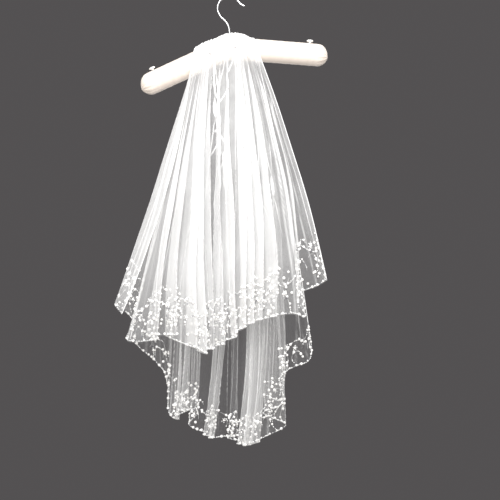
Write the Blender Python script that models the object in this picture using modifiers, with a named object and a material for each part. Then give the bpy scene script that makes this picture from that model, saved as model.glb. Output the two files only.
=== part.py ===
"""A two-tier bridal veil of tulle, gathered over the middle of a padded clothes hanger.

Metres, +Z up. The front of the veil faces -Y. The origin is the hanging point, inside the top of
the wire hook. The hanger hangs tilted, its left end low, as it was found. The short upper tier
falls in front of the padded bar and the long lower tier behind it, and both are gathered side by
side along the top of the bar. Each tier is one sheet, and each row of its table is one fold.
"""

import math
from typing import NamedTuple

import bmesh
import bpy
import numpy as np
from mathutils import Matrix, Vector

MM = 0.001

# Padded bar: a stuffed satin tube round a bent core, millimetres
BAR_RADIUS = 23.0
BAR_LEFT_TIP = -178.5
BAR_RIGHT_TIP = 199.5
BAR_PEAK_X = -3.0
BAR_PEAK_Z = -106.3
BAR_LEFT_SLOPE = 0.4605
BAR_RIGHT_SLOPE = -0.0795
BAR_BEND_WIDTH = 10.0
BAR_END_LENGTH = 20.0
BAR_SPANS = 20

# Wire hook
WIRE_RADIUS = 1.5
LOOP_RADIUS = 23.5
LOOP_CENTRE_X = -1.0
LOOP_START_DEGREES = 205.0
LOOP_END_DEGREES = 32.0
LOOP_STEPS = 12
STEM_X = 0.0
SEAT_GAP = 0.3

# Knobs that keep straps on the arms
KNOB_LEFT_X = -146.5
KNOB_RIGHT_X = 162.0
KNOB_STALK_RADIUS = 2.6
KNOB_STALK_HEIGHT = 1.8
KNOB_HEAD_RADIUS = 6.6
KNOB_HEAD_HEIGHT = 5.0
KNOB_SIDES = 20

# Tulle walls
WALL = 1.0
HEAD_CLEARANCE = 1.3
HEAD_RISE = 8.5
HEAD_CENTRE_X = -10.0
HEAD_NARROWING = 0.87
HEADING_SEAM_GAP = 0.8
STEM_CLEARANCE = 2.3
STEM_CLEARANCE_WIDTH = 6.0
FOLD_ROUNDING = 1.4
COLUMN_PLACES = (0.0, 0.16, 0.84)
ROWS_OVER_BAR = 3
ROWS_HANGING = 10


class Fold(NamedTuple):
    """One ridge or hollow of a tier, in millimetres from the hanging point."""

    head: float
    mid: float
    hem: float
    drop: float
    depth: float


# Ridges and hollows of the upper tier, from its left side edge to its right one
UPPER_FOLDS = (
    Fold(head=-76, mid=-125, hem=-215, drop=644, depth=-70),
    Fold(head=-72.5, mid=-149, hem=-232, drop=626, depth=-42),
    Fold(head=-69, mid=-130, hem=-195, drop=662, depth=-12),
    Fold(head=-65.5, mid=-134, hem=-205, drop=699, depth=-34),
    Fold(head=-62, mid=-110, hem=-148, drop=696, depth=-58),
    Fold(head=-58.5, mid=-121, hem=-166, drop=690, depth=-20),
    Fold(head=-55, mid=-90, hem=-108, drop=688, depth=-56),
    Fold(head=-51.5, mid=-106, hem=-132, drop=691, depth=-16),
    Fold(head=-48, mid=-62, hem=-64, drop=714, depth=-62),
    Fold(head=-44.5, mid=-80, hem=-86, drop=704, depth=-14),
    Fold(head=-41, mid=-50, hem=-47, drop=724, depth=-72),
    Fold(head=-37.5, mid=-66, hem=-66, drop=720, depth=-16),
    Fold(head=-34, mid=-38, hem=-27, drop=716, depth=-60),
    Fold(head=-29.5, mid=-54, hem=-48, drop=716, depth=-14),
    Fold(head=-23, mid=-16, hem=-8, drop=706, depth=-50),
    Fold(head=-15, mid=-32, hem=-28, drop=708, depth=-14),
    Fold(head=-7, mid=6, hem=14, drop=692, depth=-58),
    Fold(head=0.5, mid=-10, hem=2, drop=687, depth=-16),
    Fold(head=7.5, mid=32, hem=34, drop=672, depth=-66),
    Fold(head=11.5, mid=17, hem=21, drop=672, depth=-16),
    Fold(head=15, mid=46, hem=51, drop=663, depth=-72),
    Fold(head=18.5, mid=32, hem=36, drop=664, depth=-16),
    Fold(head=22, mid=62, hem=65, drop=656, depth=-60),
    Fold(head=25.5, mid=46, hem=51, drop=660, depth=-14),
    Fold(head=29, mid=84, hem=94, drop=650, depth=-52),
    Fold(head=32.5, mid=64, hem=72, drop=654, depth=-18),
    Fold(head=36, mid=103, hem=130, drop=645, depth=-58),
    Fold(head=40, mid=110, hem=154, drop=652, depth=-44),
    Fold(head=45, mid=115, hem=138, drop=610, depth=-28),
    Fold(head=50, mid=122, hem=176, drop=590, depth=-12),
    Fold(head=56, mid=137, hem=197, drop=577, depth=-30),
)

# Ridges and hollows of the lower tier, which hangs behind, in the same order
LOWER_FOLDS = (
    Fold(head=-74, mid=-140, hem=-205, drop=699, depth=34),
    Fold(head=-70, mid=-134, hem=-174, drop=730, depth=58),
    Fold(head=-66, mid=-125, hem=-142, drop=758, depth=16),
    Fold(head=-62, mid=-114, hem=-127, drop=808, depth=38),
    Fold(head=-58, mid=-98, hem=-122, drop=854, depth=12),
    Fold(head=-54, mid=-86, hem=-104, drop=868, depth=56),
    Fold(head=-50, mid=-87, hem=-111, drop=856, depth=22),
    Fold(head=-46, mid=-71, hem=-86, drop=848, depth=62),
    Fold(head=-42, mid=-77, hem=-98, drop=846, depth=18),
    Fold(head=-38, mid=-56, hem=-66, drop=852, depth=56),
    Fold(head=-34, mid=-64, hem=-86, drop=876, depth=8),
    Fold(head=-29.5, mid=-20, hem=-41, drop=899, depth=52),
    Fold(head=-24, mid=-32, hem=-54, drop=896, depth=22),
    Fold(head=-18, mid=-4, hem=-28, drop=905, depth=58),
    Fold(head=-11.5, mid=-20, hem=-43, drop=903, depth=20),
    Fold(head=-5, mid=12, hem=13, drop=902, depth=60),
    Fold(head=1, mid=1, hem=-2, drop=903, depth=20),
    Fold(head=5.5, mid=46, hem=37, drop=916, depth=60),
    Fold(head=9.5, mid=34, hem=18, drop=914, depth=12),
    Fold(head=13, mid=60, hem=49, drop=920, depth=66),
    Fold(head=16.5, mid=46, hem=30, drop=917, depth=14),
    Fold(head=20, mid=74, hem=62, drop=916, depth=68),
    Fold(head=23.5, mid=60, hem=42, drop=912, depth=16),
    Fold(head=27, mid=76, hem=82, drop=900, depth=50),
    Fold(head=30.5, mid=92, hem=117, drop=882, depth=70),
    Fold(head=34, mid=74, hem=72, drop=850, depth=14),
    Fold(head=37.5, mid=102, hem=112, drop=834, depth=40),
    Fold(head=41, mid=84, hem=100, drop=778, depth=10),
    Fold(head=45.5, mid=114, hem=138, drop=757, depth=38),
    Fold(head=50, mid=108, hem=163, drop=745, depth=14),
    Fold(head=55, mid=119, hem=171, drop=720, depth=34),
)


def clear_scene() -> None:
    """Remove every object of the open scene."""
    for old in list(bpy.data.objects):
        bpy.data.objects.remove(old, do_unlink=True)


def make_collection(name: str) -> bpy.types.Collection:
    """Make the collection that holds the parts."""
    group = bpy.data.collections.new(name)
    bpy.context.scene.collection.children.link(group)
    return group


def make_material(name: str, colour: tuple, roughness: float, metallic: float = 0.0):
    """Make a plain Principled material."""
    material = bpy.data.materials.new(name)
    material.use_nodes = True
    shader = material.node_tree.nodes["Principled BSDF"]
    shader.inputs["Base Color"].default_value = (*colour, 1.0)
    shader.inputs["Roughness"].default_value = roughness
    shader.inputs["Metallic"].default_value = metallic
    material.diffuse_color = (*colour, 1.0)
    return material


def bar_height(x):
    """Height of the bar's centre line at x: two straight arms joined by a smooth bend."""
    mean = (BAR_LEFT_SLOPE + BAR_RIGHT_SLOPE) / 2
    half = (BAR_LEFT_SLOPE - BAR_RIGHT_SLOPE) / 2
    run = x - BAR_PEAK_X
    bend = np.sqrt(run * run + BAR_BEND_WIDTH ** 2) - BAR_BEND_WIDTH
    return BAR_PEAK_Z + mean * run - half * bend


def bar_slope(x):
    """Slope of the bar's centre line at x."""
    mean = (BAR_LEFT_SLOPE + BAR_RIGHT_SLOPE) / 2
    half = (BAR_LEFT_SLOPE - BAR_RIGHT_SLOPE) / 2
    run = x - BAR_PEAK_X
    return mean - half * run / np.sqrt(run * run + BAR_BEND_WIDTH ** 2)


def tube(name: str, points: list, radius: float, shares: list, resolution: int, group, material):
    """Make a round tube along points, its radius scaled by a share at each point."""
    curve = bpy.data.curves.new(name, "CURVE")
    curve.dimensions = "3D"
    curve.bevel_depth = radius * MM
    curve.bevel_resolution = resolution
    curve.use_fill_caps = True
    spline = curve.splines.new("POLY")
    spline.points.add(len(points) - 1)
    for target, point, share in zip(spline.points, points, shares):
        target.co = (*(Vector(point) * MM), 1.0)
        target.radius = share
    spline.use_smooth = True
    curve.materials.append(material)
    piece = bpy.data.objects.new(name, curve)
    group.objects.link(piece)
    return piece


def build_bar(group, material):
    """Make the padded bar with its two rounded ends."""
    stations = []
    for degrees in (14, 32, 50, 68, 90):
        angle = math.radians(degrees)
        inward = BAR_END_LENGTH * (1 - math.cos(angle))
        stations.append((inward, math.sin(angle)))
    left_run = 1 / math.hypot(1, BAR_LEFT_SLOPE)
    right_run = 1 / math.hypot(1, BAR_RIGHT_SLOPE)
    places = [(BAR_LEFT_TIP + inward * left_run, share) for inward, share in stations]
    first = places[-1][0]
    last = BAR_RIGHT_TIP - BAR_END_LENGTH * right_run
    for step in range(1, BAR_SPANS):
        places.append((first + (last - first) * step / BAR_SPANS, 1.0))
    places += [(BAR_RIGHT_TIP - inward * right_run, share) for inward, share in reversed(stations)]
    points = [(x, 0.0, float(bar_height(x))) for x, _ in places]
    shares = [share for _, share in places]
    return tube("padded_bar", points, BAR_RADIUS, shares, 8, group, material)


def rounded_route(corners: list, steps: int) -> list:
    """Read points from a smooth curve through the corners of a route."""
    ends = [2 * corners[0] - corners[1], *corners, 2 * corners[-1] - corners[-2]]
    route = []
    for before, start, end, after in zip(ends, ends[1:], ends[2:], ends[3:]):
        for step in range(steps):
            f = step / steps
            bend = (2 * start + (end - before) * f
                    + (2 * before - 5 * start + 4 * end - after) * f * f
                    + (3 * start - before - 3 * end + after) * f ** 3)
            route.append(bend / 2)
    route.append(corners[-1])
    return route


def build_hook(group, material):
    """Make the wire hook: stem, sweep to the left, loop over the top and flared tip."""
    foot = float(bar_height(STEM_X)) + BAR_RADIUS / math.cos(math.atan(float(bar_slope(STEM_X))))
    stem = [(STEM_X, foot + SEAT_GAP), (STEM_X, -71.5), (-1.4, -62.2), (-5.0, -53.5),
            (-11.0, -46.3), (-17.5, -40.2)]
    loop = []
    for step in range(LOOP_STEPS + 1):
        degrees = LOOP_START_DEGREES + (LOOP_END_DEGREES - LOOP_START_DEGREES) * step / LOOP_STEPS
        angle = math.radians(degrees)
        centre_z = WIRE_RADIUS - LOOP_RADIUS
        loop.append((LOOP_CENTRE_X + LOOP_RADIUS * math.cos(angle),
                     centre_z + LOOP_RADIUS * math.sin(angle)))
    tip = [(21.6, -12.6), (26.4, -16.0), (31.2, -17.6)]
    corners = [Vector((x, 0.0, z)) for x, z in stem + loop + tip]
    route = rounded_route(corners, 2)
    return tube("hook", route, WIRE_RADIUS, [1.0] * len(route), 2, group, material)


def build_knob(name: str, x: float, group, material):
    """Make one turned knob standing square on the top of an arm."""
    head_base = KNOB_STALK_HEIGHT
    head_top = KNOB_STALK_HEIGHT + KNOB_HEAD_HEIGHT
    profile = [(0.0, head_top)]
    for degrees in (65, 40, 15, -15, -45, -75):
        angle = math.radians(degrees)
        profile.append((KNOB_HEAD_RADIUS * math.cos(angle),
                        (head_top + head_base + KNOB_HEAD_HEIGHT * math.sin(angle)) / 2))
    profile += [(KNOB_STALK_RADIUS, head_base), (KNOB_STALK_RADIUS, 0.0), (0.0, 0.0)]
    mesh = bpy.data.meshes.new(name)
    edges = [(i, i + 1) for i in range(len(profile) - 1)]
    mesh.from_pydata([(r * MM, 0.0, z * MM) for r, z in profile], edges, [])
    mesh.materials.append(material)
    knob = bpy.data.objects.new(name, mesh)
    turn = knob.modifiers.new("Turned", "SCREW")
    turn.steps = KNOB_SIDES
    turn.render_steps = KNOB_SIDES
    turn.use_merge_vertices = True
    turn.merge_threshold = 0.0001
    lean = math.atan(float(bar_slope(x)))
    reach = BAR_RADIUS + SEAT_GAP
    seat = Vector((x - math.sin(lean) * reach, 0.0, float(bar_height(x)) + math.cos(lean) * reach))
    knob.matrix_world = Matrix.Translation(seat * MM) @ Matrix.Rotation(-lean, 4, "Y")
    group.objects.link(knob)
    return knob


def round_the_folds(rows: np.ndarray) -> tuple:
    """Give the direction of the cloth at the start and end of each span between two fold lines."""
    ends = np.vstack((2 * rows[0] - rows[1], rows, 2 * rows[-1] - rows[-2]))
    span = np.diff(ends, axis=0)
    length = np.linalg.norm(span, axis=1)[:, None]
    knot = np.sqrt(length)
    skip = span[:-1] + span[1:]
    flow = span[:-1] / knot[:-1] - skip / (knot[:-1] + knot[1:]) + span[1:] / knot[1:]
    straight = np.linalg.norm(skip, axis=1)[:, None] / (length[:-1] + length[1:])
    flow[:, :2] *= 1 + FOLD_ROUNDING * (1 - straight)
    return flow[:-1] * knot[1:-1], flow[1:] * knot[1:-1]


def along_folds(rows: np.ndarray, places: np.ndarray) -> np.ndarray:
    """Read a smooth line through the rows at fractional places."""
    leave, arrive = round_the_folds(rows)
    index = np.clip(np.floor(places).astype(int), 0, len(rows) - 2)
    f = (places - index)[:, None]
    return ((1 + 2 * f) * (1 - f) ** 2 * rows[index] + f * (1 - f) ** 2 * leave[index]
            + f * f * (3 - 2 * f) * rows[index + 1] - f * f * (1 - f) * arrive[index])


class Tier:
    """One tier of the veil as a surface of fold lines that run down from its heading to its hem."""

    def __init__(self, folds: tuple, side: float):
        """Read the fold table; side is -1 for the front of the bar and +1 for its back."""
        self.side = side
        self.count = len(folds)
        self.head, self.mid, self.hem, self.drop, self.depth = np.array(folds, float).T
        near = np.abs(self.depth)
        self.rise = HEAD_CLEARANCE + HEAD_RISE * (near - near.min()) / (near.max() - near.min())

    def over_bar(self, share: float) -> np.ndarray:
        """Places of the fold lines on the bar, from its top, share 0, to its front or back, 1."""
        angle = share * math.pi / 2
        narrow = HEAD_NARROWING + (1 - HEAD_NARROWING) * share
        x = HEAD_CENTRE_X + (self.head - HEAD_CENTRE_X) * narrow
        near_stem = np.exp(-((x - STEM_X) / STEM_CLEARANCE_WIDTH) ** 2)
        edge = HEADING_SEAM_GAP / 2 + STEM_CLEARANCE * near_stem
        reach = BAR_RADIUS + self.rise
        y = self.side * (edge + (reach - edge) * math.sin(angle))
        lean = np.sqrt(1 + bar_slope(x) ** 2)
        z = bar_height(x) + reach * lean * math.cos(angle)
        return np.column_stack((x, y, z))

    def hanging(self, share: float) -> np.ndarray:
        """Places of the fold lines below the bar, from its middle height, 0, to the hem, 1."""
        start = self.over_bar(1.0)
        x = (start[:, 0] * (1 - share) * (1 - 2 * share) + self.mid * 4 * share * (1 - share)
             + self.hem * share * (2 * share - 1))
        y = start[:, 1] + (self.depth - start[:, 1]) * share
        z = start[:, 2] + (-self.drop - start[:, 2]) * share
        return np.column_stack((x, y, z))

    def line(self, level: int, across: np.ndarray) -> np.ndarray:
        """One level of the wall, as points at fractional places among its fold lines."""
        if level <= ROWS_OVER_BAR:
            rows = self.over_bar(level / ROWS_OVER_BAR)
        else:
            rows = self.hanging((level - ROWS_OVER_BAR) / ROWS_HANGING)
        return along_folds(rows, across)


def build_tier(name: str, folds: tuple, side: float, group, material):
    """Make a tier's wall: a grid laid on its surface and thickened both ways."""
    tier = Tier(folds, side)
    spans = tier.count - 1
    across = np.array([span + place for span in range(spans) for place in COLUMN_PLACES] + [spans])
    columns = len(across) - 1
    levels = ROWS_OVER_BAR + ROWS_HANGING
    lines = [tier.line(level, across) * MM for level in range(levels + 1)]
    shape = bmesh.new()
    bmesh.ops.create_grid(shape, x_segments=columns, y_segments=levels, size=0.5)
    for vertex in shape.verts:
        column = round((vertex.co.x + 0.5) * columns)
        level = round((0.5 - vertex.co.y) * levels)
        vertex.co = Vector(lines[level][column])
    mesh = bpy.data.meshes.new(name)
    shape.to_mesh(mesh)
    shape.free()
    mesh.materials.append(material)
    mesh.shade_smooth()
    cloth = bpy.data.objects.new(name, mesh)
    wall = cloth.modifiers.new("Wall", "SOLIDIFY")
    wall.thickness = WALL * MM
    wall.offset = 0.0
    group.objects.link(cloth)
    return cloth


def main() -> None:
    """Build every piece of the veil and its hanger."""
    clear_scene()
    group = make_collection("bridal_veil")
    tulle = make_material("tulle", (0.93, 0.93, 0.93), 0.7)
    satin = make_material("satin", (0.92, 0.89, 0.86), 0.4)
    chrome = make_material("chrome", (0.75, 0.76, 0.78), 0.12, 1.0)
    enamel = make_material("enamel", (0.9, 0.9, 0.88), 0.25)
    build_bar(group, satin)
    build_hook(group, chrome)
    build_knob("knob_left", KNOB_LEFT_X, group, enamel)
    build_knob("knob_right", KNOB_RIGHT_X, group, enamel)
    build_tier("upper_tier", UPPER_FOLDS, -1.0, group, tulle)
    build_tier("lower_tier", LOWER_FOLDS, 1.0, group, tulle)


main()
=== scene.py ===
"""Looks of a two-tier bridal veil of beaded tulle, gathered over a padded satin hanger.

Metres, +Z up, and the front faces -Y. The origin is the hanging point, inside the top of the
hook. Sizes are in millimetres until a mesh is made. Each tier of tulle is one fine open sheet on
the form of its solid, with creases pinched into it, and its hem carries a worked border of seed
beads, pearls and a few silvered beads.
"""

import logging
import math
from dataclasses import dataclass, field
from enum import Enum
from typing import NamedTuple

import bmesh
import bpy
import numpy as np
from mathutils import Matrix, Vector


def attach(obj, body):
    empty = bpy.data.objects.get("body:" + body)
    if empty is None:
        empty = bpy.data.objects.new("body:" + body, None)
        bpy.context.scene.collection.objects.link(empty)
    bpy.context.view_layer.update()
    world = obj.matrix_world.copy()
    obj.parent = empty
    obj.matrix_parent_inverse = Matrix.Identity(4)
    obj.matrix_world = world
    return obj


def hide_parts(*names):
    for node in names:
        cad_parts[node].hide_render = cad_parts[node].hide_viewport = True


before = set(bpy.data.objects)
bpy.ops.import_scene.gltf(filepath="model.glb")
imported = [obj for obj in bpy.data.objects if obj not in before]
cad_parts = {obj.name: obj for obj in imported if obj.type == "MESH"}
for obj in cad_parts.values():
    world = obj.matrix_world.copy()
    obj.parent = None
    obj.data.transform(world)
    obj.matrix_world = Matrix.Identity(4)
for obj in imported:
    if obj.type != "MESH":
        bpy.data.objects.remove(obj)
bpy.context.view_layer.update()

MM = 0.001
LOG = logging.getLogger("veil")


class Fold(NamedTuple):
    """One ridge or hollow of a tier, in millimetres from the hanging point."""

    head: float
    mid: float
    hem: float
    drop: float
    depth: float


class Crease(NamedTuple):
    """A narrow pinch of the cloth: fold numbers at its top and foot, shares of the drop, sizes."""

    top_fold: float
    foot_fold: float
    top: float
    foot: float
    width: float
    lap: float
    press: float = 1.0


class Side(Enum):
    """Which side of the bar a tier falls on."""

    FRONT = -1.0
    BACK = 1.0


class Bead(Enum):
    """Kinds of bead in a border."""

    SEED = "seeds"
    PEARL = "pearls"
    # Silvered beads, whose dark colour is a painted reflection.
    SILVER = "silver_painted_reflection"


# Ridges and hollows of the upper tier, from its left side edge to its right one
UPPER_FOLDS = (
    Fold(head=-76, mid=-125, hem=-215, drop=644, depth=-70),
    Fold(head=-72.5, mid=-149, hem=-232, drop=626, depth=-42),
    Fold(head=-69, mid=-130, hem=-195, drop=662, depth=-12),
    Fold(head=-65.5, mid=-134, hem=-205, drop=699, depth=-34),
    Fold(head=-62, mid=-110, hem=-148, drop=696, depth=-58),
    Fold(head=-58.5, mid=-121, hem=-166, drop=690, depth=-20),
    Fold(head=-55, mid=-90, hem=-108, drop=688, depth=-56),
    Fold(head=-51.5, mid=-106, hem=-132, drop=691, depth=-16),
    Fold(head=-48, mid=-62, hem=-64, drop=714, depth=-62),
    Fold(head=-44.5, mid=-80, hem=-86, drop=704, depth=-14),
    Fold(head=-41, mid=-50, hem=-47, drop=724, depth=-72),
    Fold(head=-37.5, mid=-66, hem=-66, drop=720, depth=-16),
    Fold(head=-34, mid=-38, hem=-27, drop=716, depth=-60),
    Fold(head=-29.5, mid=-54, hem=-48, drop=716, depth=-14),
    Fold(head=-23, mid=-16, hem=-8, drop=706, depth=-50),
    Fold(head=-15, mid=-32, hem=-28, drop=708, depth=-14),
    Fold(head=-7, mid=6, hem=14, drop=692, depth=-58),
    Fold(head=0.5, mid=-10, hem=2, drop=687, depth=-16),
    Fold(head=7.5, mid=32, hem=34, drop=672, depth=-66),
    Fold(head=11.5, mid=17, hem=21, drop=672, depth=-16),
    Fold(head=15, mid=46, hem=51, drop=663, depth=-72),
    Fold(head=18.5, mid=32, hem=36, drop=664, depth=-16),
    Fold(head=22, mid=62, hem=65, drop=656, depth=-60),
    Fold(head=25.5, mid=46, hem=51, drop=660, depth=-14),
    Fold(head=29, mid=84, hem=94, drop=650, depth=-52),
    Fold(head=32.5, mid=64, hem=72, drop=654, depth=-18),
    Fold(head=36, mid=103, hem=130, drop=645, depth=-58),
    Fold(head=40, mid=110, hem=154, drop=652, depth=-44),
    Fold(head=45, mid=115, hem=138, drop=610, depth=-28),
    Fold(head=50, mid=122, hem=176, drop=590, depth=-12),
    Fold(head=56, mid=137, hem=197, drop=577, depth=-30),
)

# Ridges and hollows of the lower tier, which hangs behind, in the same order
LOWER_FOLDS = (
    Fold(head=-74, mid=-140, hem=-205, drop=699, depth=34),
    Fold(head=-70, mid=-134, hem=-174, drop=730, depth=58),
    Fold(head=-66, mid=-125, hem=-142, drop=758, depth=16),
    Fold(head=-62, mid=-114, hem=-127, drop=808, depth=38),
    Fold(head=-58, mid=-98, hem=-122, drop=854, depth=12),
    Fold(head=-54, mid=-86, hem=-104, drop=868, depth=56),
    Fold(head=-50, mid=-87, hem=-111, drop=856, depth=22),
    Fold(head=-46, mid=-71, hem=-86, drop=848, depth=62),
    Fold(head=-42, mid=-77, hem=-98, drop=846, depth=18),
    Fold(head=-38, mid=-56, hem=-66, drop=852, depth=56),
    Fold(head=-34, mid=-64, hem=-86, drop=876, depth=8),
    Fold(head=-29.5, mid=-20, hem=-41, drop=899, depth=52),
    Fold(head=-24, mid=-18, hem=-54, drop=896, depth=22),
    Fold(head=-18, mid=-4, hem=-34, drop=905, depth=58),
    Fold(head=-11.5, mid=-10, hem=-44, drop=903, depth=20),
    Fold(head=-5, mid=12, hem=13, drop=902, depth=60),
    Fold(head=1, mid=1, hem=-2, drop=903, depth=20),
    Fold(head=5.5, mid=46, hem=37, drop=916, depth=60),
    Fold(head=9.5, mid=34, hem=18, drop=914, depth=12),
    Fold(head=13, mid=60, hem=49, drop=920, depth=66),
    Fold(head=16.5, mid=46, hem=30, drop=917, depth=14),
    Fold(head=20, mid=74, hem=62, drop=916, depth=68),
    Fold(head=23.5, mid=60, hem=42, drop=912, depth=16),
    Fold(head=27, mid=76, hem=82, drop=900, depth=50),
    Fold(head=30.5, mid=92, hem=117, drop=882, depth=70),
    Fold(head=34, mid=74, hem=72, drop=850, depth=14),
    Fold(head=37.5, mid=102, hem=112, drop=834, depth=40),
    Fold(head=41, mid=84, hem=100, drop=778, depth=10),
    Fold(head=45.5, mid=114, hem=138, drop=757, depth=38),
    Fold(head=50, mid=108, hem=163, drop=745, depth=14),
    Fold(head=55, mid=119, hem=171, drop=720, depth=34),
)

# Pinches of the upper tier
UPPER_CREASES = (
    Crease(top_fold=0.40, foot_fold=0.55, top=0.20, foot=0.99, width=1.8, lap=2.8),
    Crease(top_fold=1.60, foot_fold=1.45, top=0.30, foot=0.95, width=2.0, lap=3.0),
    Crease(top_fold=3.35, foot_fold=3.80, top=0.15, foot=0.98, width=2.4, lap=3.8),
    Crease(top_fold=4.60, foot_fold=4.40, top=0.30, foot=0.90, width=2.0, lap=3.0),
    Crease(top_fold=5.70, foot_fold=5.35, top=0.12, foot=0.85, width=2.4, lap=3.8),
    Crease(top_fold=7.35, foot_fold=7.80, top=0.05, foot=0.70, width=2.4, lap=4.0),
    Crease(top_fold=7.75, foot_fold=7.40, top=0.40, foot=0.96, width=2.0, lap=3.0),
    Crease(top_fold=9.60, foot_fold=9.30, top=0.02, foot=0.60, width=2.6, lap=4.2),
    Crease(top_fold=11.3, foot_fold=11.7, top=0.25, foot=0.95, width=2.2, lap=3.6),
    Crease(top_fold=13.1, foot_fold=13.9, top=0.00, foot=0.34, width=2.6, lap=4.6),
    Crease(top_fold=13.7, foot_fold=13.2, top=0.05, foot=0.55, width=2.4, lap=4.2),
    Crease(top_fold=15.8, foot_fold=13.4, top=0.02, foot=0.36, width=2.4, lap=1.2, press=2.5),
    Crease(top_fold=14.8, foot_fold=15.7, top=0.04, foot=0.50, width=2.4, lap=4.2),
    Crease(top_fold=16.9, foot_fold=15.3, top=0.00, foot=0.42, width=2.4, lap=1.4, press=2.5),
    Crease(top_fold=15.5, foot_fold=15.8, top=0.35, foot=0.97, width=2.4, lap=3.8),
    Crease(top_fold=17.7, foot_fold=17.3, top=0.15, foot=0.90, width=2.2, lap=3.6),
    Crease(top_fold=19.4, foot_fold=19.7, top=0.10, foot=0.75, width=2.2, lap=3.6),
    Crease(top_fold=23.7, foot_fold=23.3, top=0.03, foot=0.80, width=2.4, lap=4.0),
    Crease(top_fold=24.4, foot_fold=24.6, top=0.25, foot=0.95, width=2.0, lap=3.2),
    Crease(top_fold=25.2, foot_fold=25.8, top=0.05, foot=0.70, width=2.6, lap=4.4),
    Crease(top_fold=25.8, foot_fold=25.3, top=0.30, foot=0.96, width=2.2, lap=3.4),
    Crease(top_fold=27.4, foot_fold=26.5, top=0.08, foot=0.80, width=2.4, lap=3.8),
    Crease(top_fold=28.6, foot_fold=28.3, top=0.20, foot=0.90, width=2.2, lap=3.4),
    Crease(top_fold=29.3, foot_fold=29.7, top=0.05, foot=0.96, width=2.0, lap=3.0),
    Crease(top_fold=17.8, foot_fold=13.4, top=0.04, foot=0.28, width=2.4, lap=0.8, press=4.0),
    Crease(top_fold=13.3, foot_fold=15.9, top=0.03, foot=0.36, width=2.2, lap=0.8, press=4.0),
    Crease(top_fold=12.7, foot_fold=14.2, top=0.03, foot=0.20, width=2.0, lap=0.8, press=3.0),
    Crease(top_fold=15.4, foot_fold=14.7, top=0.32, foot=0.56, width=2.0, lap=2.0, press=2.0),
    Crease(top_fold=13.7, foot_fold=14.1, top=0.30, foot=0.48, width=2.0, lap=3.6),
    Crease(top_fold=16.4, foot_fold=16.9, top=0.22, foot=0.50, width=2.0, lap=3.6),
    Crease(top_fold=8.60, foot_fold=7.80, top=0.18, foot=0.52, width=2.2, lap=3.6),
    Crease(top_fold=22.5, foot_fold=23.6, top=0.20, foot=0.62, width=2.2, lap=3.6),
)

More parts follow.
